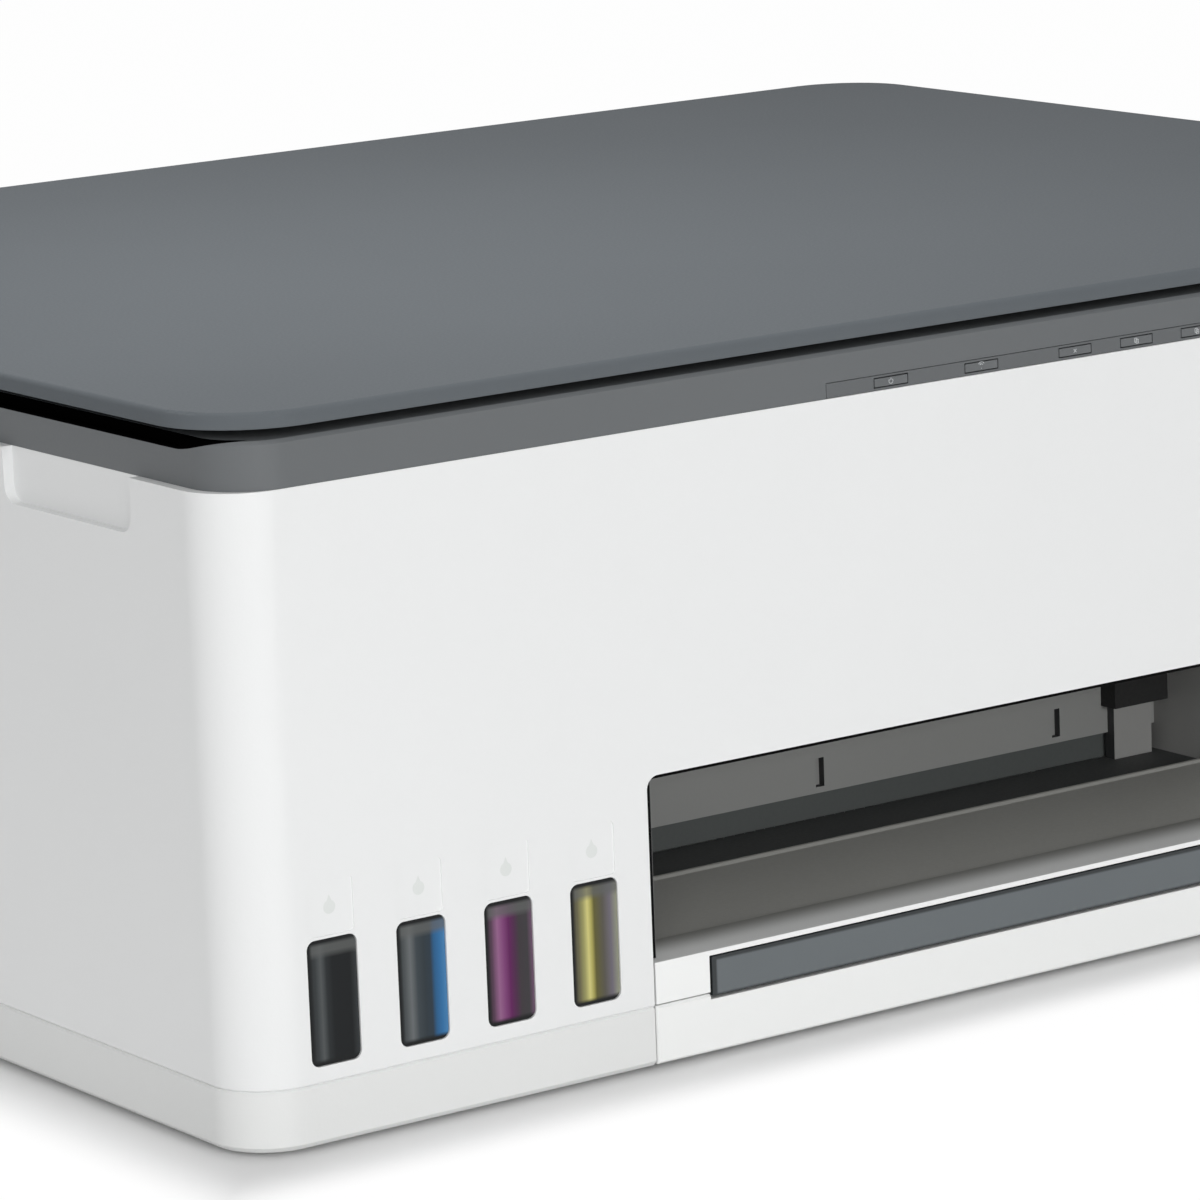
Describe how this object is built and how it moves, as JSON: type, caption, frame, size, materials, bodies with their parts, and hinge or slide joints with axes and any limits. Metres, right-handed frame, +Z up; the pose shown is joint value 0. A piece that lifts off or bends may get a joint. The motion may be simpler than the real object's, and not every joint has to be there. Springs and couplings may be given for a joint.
{
  "type": "multifunction printer",
  "caption": "Compact ink-tank printer with a flatbed scanner on top: white case, grey band and lid, front tray and output slot, ink windows at the left",
  "frame": {"origin": "On the floor, under the middle of the box from the front face to the back of the rear door.", "axes": "X to the right seen from the front, Y to the back, Z up."},
  "size_m": [0.435, 0.361, 0.1575],
  "materials": {
    "case_white": "fine textured white ABS",
    "trim_grey": "fine textured grey ABS",
    "control_grey": "satin dark grey ABS",
    "button_grey": "satin light grey ABS",
    "bar_grey": "satin blue-grey ABS",
    "tray_white": "fine textured white ABS",
    "dark_plastic": "matt black polystyrene",
    "gear_plastic": "moulded acetal",
    "latch_grey": "satin grey-blue ABS",
    "head_black": "matt black moulding",
    "window_clear": "smoky clear polycarbonate",
    "tank_clear": "translucent polypropylene",
    "ink": "liquid ink",
    "tube_clear": "thin silicone tube with ink",
    "black_cap": "black ABS",
    "cyan_cap": "cyan ABS",
    "magenta_cap": "magenta ABS",
    "yellow_cap": "yellow ABS",
    "rubber": "matt black rubber",
    "steel": "zinc plated and ground steel",
    "shaft": "rubber sleeves on a steel shaft",
    "motor": "zinc plated steel can",
    "board": "solder mask on glass fibre",
    "supply": "black ABS",
    "glass": "clear float glass"
  },
  "bodies": {
    "case": {"base_tub": "case_white", "main_case": "case_white", "rubber_feet": "rubber", "tank_windows": "window_clear", "ink_tanks": "tank_clear", "ink_fills": "ink", "tank_deck": "dark_plastic", "ink_tubes": "tube_clear", "output_lip": "case_white", "output_bed": "dark_plastic", "exit_housing": "dark_plastic", "engine_base": "dark_plastic", "platen": "dark_plastic", "feed_motor": "motor", "feed_belt": "rubber", "turn_guide": "dark_plastic", "engine_frame": "steel", "guide_rod": "steel", "carriage_belt": "rubber", "carriage_motor": "motor", "service_station": "dark_plastic", "main_board": "board", "usb_socket": "steel", "power_supply": "supply"},
    "scanner_unit": {"scanner_base": "dark_plastic", "scan_rod": "steel", "scanner_bezel": "trim_grey", "platen_glass": "glass", "control_panel": "control_grey"},
    "scan_head": {"scan_bar": "dark_plastic"},
    "lid_body": {"lid": "trim_grey", "lid_pad": "case_white"},
    "rear_door_body": {"rear_door": "dark_plastic"},
    "extender": {"tray_extender": "bar_grey"},
    "tray": {"input_tray": "tray_white"},
    "left_guide": {"left_width_guide": "dark_plastic"},
    "right_guide": {"right_width_guide": "dark_plastic"},
    "pinion": {"guide_pinion": "gear_plastic"},
    "carriage_body": {"carriage": "dark_plastic", "printheads": "head_black"},
    "latch": {"carriage_latch": "latch_grey"},
    "drive_wheel": {"drive_pulley": "gear_plastic"},
    "idler_wheel": {"idler_pulley": "gear_plastic"},
    "feed_roller_body": {"feed_roller": "rubber"},
    "exit_roller_body": {"exit_roller": "shaft"},
    "motor_wheel": {"motor_pulley": "gear_plastic"},
    "pinch_body": {"pinch_rollers": "shaft"},
    "star_body": {"star_wheels": "steel"},
    "pick_arm_body": {"pick_arm": "dark_plastic"},
    "pick_roller_body": {"pick_roller": "rubber"},
    "sled": {"cap_sled": "head_black"},
    "black_cap_body": {"black_cap": "black_cap"},
    "cyan_cap_body": {"cyan_cap": "cyan_cap"},
    "magenta_cap_body": {"magenta_cap": "magenta_cap"},
    "yellow_cap_body": {"yellow_cap": "yellow_cap"},
    "power_button_body": {"power_button": "button_grey"},
    "wireless_button_body": {"wireless_button": "button_grey"},
    "cancel_button_body": {"cancel_button": "button_grey"},
    "mono_copy_button_body": {"mono_copy_button": "button_grey"},
    "colour_copy_button_body": {"colour_copy_button": "button_grey"}
  },
  "joints": [
    {"name": "scanner_hinge", "type": "hinge", "parent": "case", "child": "scanner_unit", "pos_m": [0, 0.1685, 0.14], "axis": [-1, 0, 0], "range_deg": [0, 45]},
    {"name": "lid_hinge", "type": "hinge", "parent": "scanner_unit", "child": "lid_body", "pos_m": [0, 0.1685, 0.1526], "axis": [-1, 0, 0], "range_deg": [0, 90]},
    {"name": "rear_door_hinge", "type": "hinge", "parent": "case", "child": "rear_door_body", "pos_m": [0, 0.1685, 0.023], "axis": [-1, 0, 0], "range_deg": [0, 60]},
    {"name": "scan_head_slide", "type": "slide", "parent": "scanner_unit", "child": "scan_head", "axis": [1, 0, 0], "range_m": [0, 0.3]},
    {"name": "tray_slide", "type": "slide", "parent": "case", "child": "tray", "axis": [0, -1, 0], "range_m": [0, 0.2]},
    {"name": "extender_slide", "type": "slide", "parent": "case", "child": "extender", "axis": [0, -1, 0], "range_m": [0, 0.06]},
    {"name": "left_guide_slide", "type": "slide", "parent": "tray", "child": "left_guide", "axis": [1, 0, 0], "range_m": [0, 0.05]},
    {"name": "right_guide_slide", "type": "slide", "parent": "tray", "child": "right_guide", "axis": [-1, 0, 0], "range_m": [0, 0.05]},
    {"name": "guide_pinion_turn", "type": "hinge", "parent": "tray", "child": "pinion", "pos_m": [0, -0.05, 0.00635], "axis": [0, 0, 1], "range_deg": [0, 358.2]},
    {"name": "carriage_slide", "type": "slide", "parent": "case", "child": "carriage_body", "axis": [-1, 0, 0], "range_m": [0, 0.27]},
    {"name": "latch_hinge", "type": "hinge", "parent": "carriage_body", "child": "latch", "pos_m": [0.16, -0.093, 0.098], "axis": [1, 0, 0], "range_deg": [0, 55]},
    {"name": "drive_pulley_turn", "type": "hinge", "parent": "case", "child": "drive_wheel", "pos_m": [0.192, -0.0095, 0.088], "axis": [0, 1, 0], "range_deg": [0, 2211]},
    {"name": "idler_pulley_turn", "type": "hinge", "parent": "case", "child": "idler_wheel", "pos_m": [-0.142, -0.0095, 0.088], "axis": [0, 1, 0], "range_deg": [0, 2211]},
    {"name": "feed_roller_turn", "type": "hinge", "parent": "case", "child": "feed_roller_body", "pos_m": [0, -0.028, 0.046], "axis": [1, 0, 0], "continuous": true},
    {"name": "exit_roller_turn", "type": "hinge", "parent": "case", "child": "exit_roller_body", "pos_m": [0, -0.0815, 0.046], "axis": [1, 0, 0], "continuous": true},
    {"name": "motor_pulley_turn", "type": "hinge", "parent": "case", "child": "motor_wheel", "pos_m": [-0.1202, 0.004, 0.046], "axis": [1, 0, 0], "continuous": true},
    {"name": "pinch_turn", "type": "hinge", "parent": "case", "child": "pinch_body", "pos_m": [0, -0.028, 0.0573], "axis": [-1, 0, 0], "continuous": true},
    {"name": "star_turn", "type": "hinge", "parent": "case", "child": "star_body", "pos_m": [0, -0.0815, 0.0578], "axis": [-1, 0, 0], "continuous": true},
    {"name": "pick_arm_hinge", "type": "hinge", "parent": "case", "child": "pick_arm_body", "pos_m": [0, 0.04, 0.04], "axis": [1, 0, 0], "range_deg": [0, 8]},
    {"name": "pick_roller_turn", "type": "hinge", "parent": "pick_arm_body", "child": "pick_roller_body", "pos_m": [0, 0.088, 0.0201], "axis": [1, 0, 0], "continuous": true},
    {"name": "cap_sled_lift", "type": "slide", "parent": "case", "child": "sled", "axis": [0, 0, 1], "range_m": [0, 0.003]},
    {"name": "black_cap_hinge", "type": "hinge", "parent": "case", "child": "black_cap_body", "pos_m": [-0.1952, -0.119, 0.0813], "axis": [-1, 0, 0], "range_deg": [0, 90]},
    {"name": "cyan_cap_hinge", "type": "hinge", "parent": "case", "child": "cyan_cap_body", "pos_m": [-0.17285, -0.119, 0.0813], "axis": [-1, 0, 0], "range_deg": [0, 90]},
    {"name": "magenta_cap_hinge", "type": "hinge", "parent": "case", "child": "magenta_cap_body", "pos_m": [-0.1505, -0.119, 0.0813], "axis": [-1, 0, 0], "range_deg": [0, 90]},
    {"name": "yellow_cap_hinge", "type": "hinge", "parent": "case", "child": "yellow_cap_body", "pos_m": [-0.12815, -0.119, 0.0813], "axis": [-1, 0, 0], "range_deg": [0, 90]},
    {"name": "power_button_press", "type": "slide", "parent": "scanner_unit", "child": "power_button_body", "axis": [0, 1, 0], "range_m": [0, 0.0006], "stiffness_N_per_m": 400},
    {"name": "wireless_button_press", "type": "slide", "parent": "scanner_unit", "child": "wireless_button_body", "axis": [0, 1, 0], "range_m": [0, 0.0006], "stiffness_N_per_m": 400},
    {"name": "cancel_button_press", "type": "slide", "parent": "scanner_unit", "child": "cancel_button_body", "axis": [0, 1, 0], "range_m": [0, 0.0006], "stiffness_N_per_m": 400},
    {"name": "mono_copy_button_press", "type": "slide", "parent": "scanner_unit", "child": "mono_copy_button_body", "axis": [0, 1, 0], "range_m": [0, 0.0006], "stiffness_N_per_m": 400},
    {"name": "colour_copy_button_press", "type": "slide", "parent": "scanner_unit", "child": "colour_copy_button_body", "axis": [0, 1, 0], "range_m": [0, 0.0006], "stiffness_N_per_m": 400}
  ],
  "couplings": [
    {"joint": "right_guide_slide", "follows": "left_guide_slide", "ratio": 1},
    {"joint": "guide_pinion_turn", "follows": "left_guide_slide", "rad_per_m": 125},
    {"joint": "drive_pulley_turn", "follows": "carriage_slide", "rad_per_m": 142.86},
    {"joint": "idler_pulley_turn", "follows": "carriage_slide", "rad_per_m": 142.86},
    {"joint": "exit_roller_turn", "follows": "feed_roller_turn", "ratio": 1},
    {"joint": "motor_pulley_turn", "follows": "feed_roller_turn", "ratio": 1},
    {"joint": "pinch_turn", "follows": "feed_roller_turn", "ratio": 1.75},
    {"joint": "star_turn", "follows": "feed_roller_turn", "ratio": 1.5556}
  ]
}
